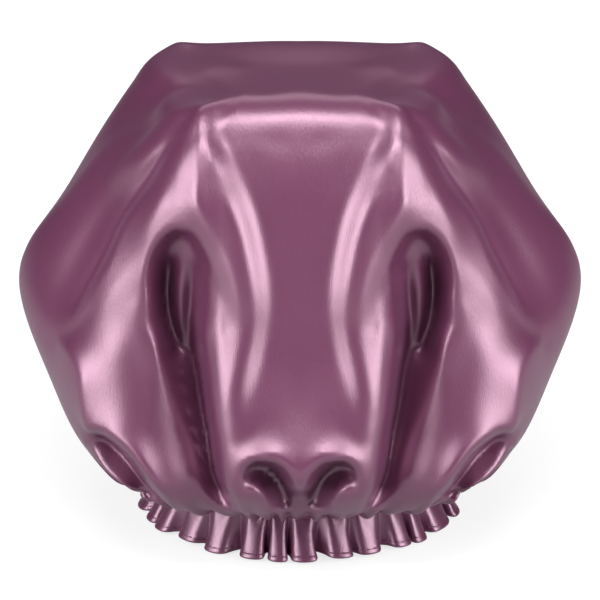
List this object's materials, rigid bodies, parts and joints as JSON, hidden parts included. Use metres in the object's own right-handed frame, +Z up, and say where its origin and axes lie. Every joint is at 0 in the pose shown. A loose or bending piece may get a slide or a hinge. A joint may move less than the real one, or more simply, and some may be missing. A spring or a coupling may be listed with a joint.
{
  "type": "satin hair bonnet",
  "caption": "Puffed double-layer satin hair bonnet, gathered onto a stretching elastic band in a sewn channel, with a fluted frill below the band.",
  "frame": {"origin": "centre of the opening, on the plane of the frill's hem", "axes": "+Z up through the crown, -Y toward the front of the bonnet, +X across it"},
  "size_m": [0.2695, 0.2545, 0.2231],
  "materials": {
    "satin": "mauve polyester satin with a strong sheen",
    "lining_satin": "mauve polyester satin, the inner layer",
    "elastic": "white braided elastic",
    "thread": "mauve polyester sewing thread"
  },
  "bodies": {
    "crown_and_back_band": {"outer_crown": "satin", "lining": "lining_satin", "channel_back": "satin", "frill_back": "satin", "elastic_back": "elastic", "elastic_splice": "elastic", "upper_stitch_back": "thread", "lower_stitch_back": "thread", "hem_stitch_back": "thread"},
    "front_band": {"channel_front": "satin", "frill_front": "satin", "elastic_front": "elastic", "upper_stitch_front": "thread", "lower_stitch_front": "thread", "hem_stitch_front": "thread"}
  },
  "joints": [
    {"name": "opening_stretch", "type": "slide", "parent": "crown_and_back_band", "child": "front_band", "axis": [0, -1, 0], "range_m": [0, 0.07], "stiffness_N_per_m": 80, "deforming": ["outer_crown", "lining"]}
  ]
}
